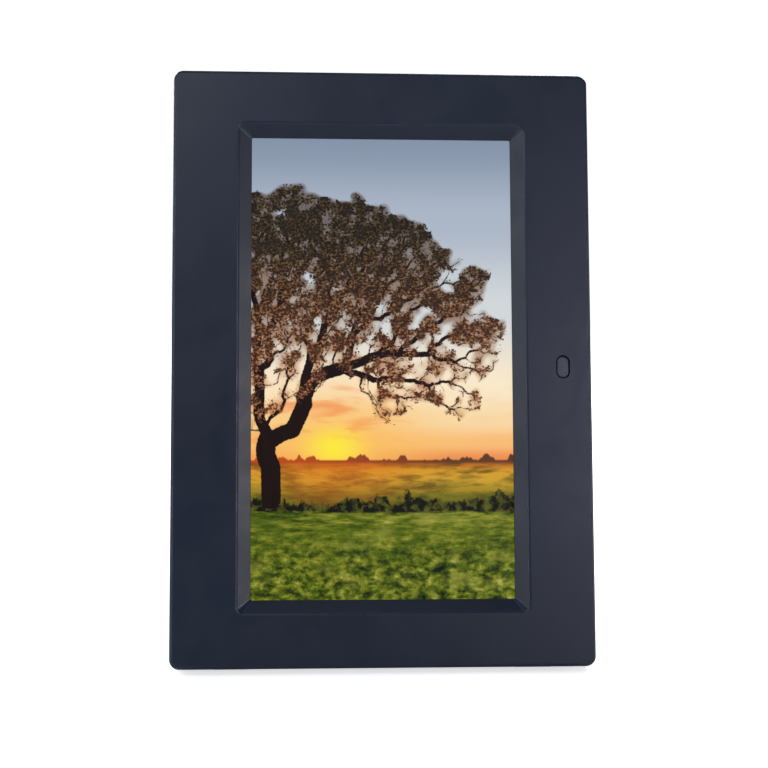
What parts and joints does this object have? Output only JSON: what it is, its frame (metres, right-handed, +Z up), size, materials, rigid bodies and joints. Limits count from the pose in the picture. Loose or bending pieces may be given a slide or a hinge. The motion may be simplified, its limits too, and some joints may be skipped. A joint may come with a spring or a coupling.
{
  "type": "digital photo frame",
  "caption": "Flat-panel digital picture frame standing on a swivelling, hinged rear leg, with sprung rear keys, a slide switch, and card, USB and power sockets.",
  "frame": {"origin": "centre of the footprint, on the surface the frame stands on", "axes": "+Z up, the picture faces -Y leaning back 12 degrees, +X to the viewer's right"},
  "size_m": [0.1392, 0.0746, 0.1962],
  "materials": {
    "bezel": "satin moulded plastic, dark blue-grey",
    "cover": "fine textured moulded plastic, black",
    "key": "satin moulded plastic, dark grey",
    "ir_window": "smooth tinted plastic",
    "screen": "lit liquid crystal panel with a satin polariser",
    "foam": "closed-cell foam",
    "film": "white optical sheet",
    "steel": "pressed sheet",
    "socket": "tin-plated shell",
    "screw": "dark zinc plate",
    "board": "glass-epoxy board with solder mask",
    "component": "moulded epoxy",
    "ribbon": "polyimide film",
    "lead": "flexible sleeve",
    "rubber": "dull rubber"
  },
  "bodies": {
    "housing": {"backlight_diffuser": "film", "backlight_guide": "film", "backlight_led_strip": "board", "backlight_tray": "steel", "board_screw_left": "screw", "board_screw_right": "screw", "button_board": "board", "button_lead": "lead", "coin_cell": "steel", "coin_cell_holder": "component", "cover_screw_1": "screw", "cover_screw_2": "screw", "cover_screw_3": "screw", "cover_screw_4": "screw", "dc_inlet": "component", "flash_chip": "component", "front_bezel": "bezel", "ir_lead": "lead", "ir_receiver": "component", "ir_window": "ir_window", "lcd_gasket": "foam", "lcd_glass": "screen", "lcd_metal_frame": "steel", "lcd_ribbon": "ribbon", "lcd_strap_lower": "steel", "lcd_strap_screw_lower": "screw", "lcd_strap_screw_upper": "screw", "lcd_strap_upper": "steel", "left_foot": "rubber", "main_board": "board", "memory_chip": "component", "mini_usb_socket": "socket", "power_inductor": "component", "power_switch_body": "steel", "processor_chip": "component", "rear_cover": "cover", "right_foot": "rubber", "sd_card_slot": "socket", "speaker_lead_left": "lead", "speaker_lead_right": "lead", "speaker_left": "component", "speaker_right": "component", "tact_switch_1": "component", "tact_switch_2": "component", "tact_switch_3": "component", "tact_switch_4": "component", "tact_switch_5": "component", "usb_a_socket": "socket"},
    "turntable": {"stand_disc": "cover", "stand_washer": "steel", "stand_screw": "screw"},
    "leg": {"stand_leg": "cover", "leg_hinge_pin": "steel", "leg_toe_pad": "rubber"},
    "power_slider": {"power_switch_knob": "key"},
    "key_1": {"button_1": "key"},
    "key_2": {"button_2": "key"},
    "key_3": {"button_3": "key"},
    "key_4": {"button_4": "key"},
    "key_5": {"button_5": "key"}
  },
  "joints": [
    {"name": "stand_swivel", "type": "hinge", "parent": "housing", "child": "turntable", "pos_m": [0, 0.00392, 0.09515], "axis": [0, -0.9781, 0.2079], "range_deg": [0, 90]},
    {"name": "leg_hinge", "type": "hinge", "parent": "turntable", "child": "leg", "pos_m": [0, 0.013, 0.10754], "axis": [1, 0, 0], "range_deg": [-24, 38]},
    {"name": "power_switch_slide", "type": "slide", "parent": "housing", "child": "power_slider", "axis": [0, 0.2079, 0.9781], "range_m": [0, 0.003]},
    {"name": "button_1_press", "type": "slide", "parent": "housing", "child": "key_1", "axis": [0, -0.9781, 0.2079], "range_m": [0, 0.0006], "stiffness_N_per_m": 900, "springref_m": -0.0004},
    {"name": "button_2_press", "type": "slide", "parent": "housing", "child": "key_2", "axis": [0, -0.9781, 0.2079], "range_m": [0, 0.0006], "stiffness_N_per_m": 900, "springref_m": -0.0004},
    {"name": "button_3_press", "type": "slide", "parent": "housing", "child": "key_3", "axis": [0, -0.9781, 0.2079], "range_m": [0, 0.0006], "stiffness_N_per_m": 900, "springref_m": -0.0004},
    {"name": "button_4_press", "type": "slide", "parent": "housing", "child": "key_4", "axis": [0, -0.9781, 0.2079], "range_m": [0, 0.0006], "stiffness_N_per_m": 900, "springref_m": -0.0004},
    {"name": "button_5_press", "type": "slide", "parent": "housing", "child": "key_5", "axis": [0, -0.9781, 0.2079], "range_m": [0, 0.0006], "stiffness_N_per_m": 900, "springref_m": -0.0004}
  ]
}
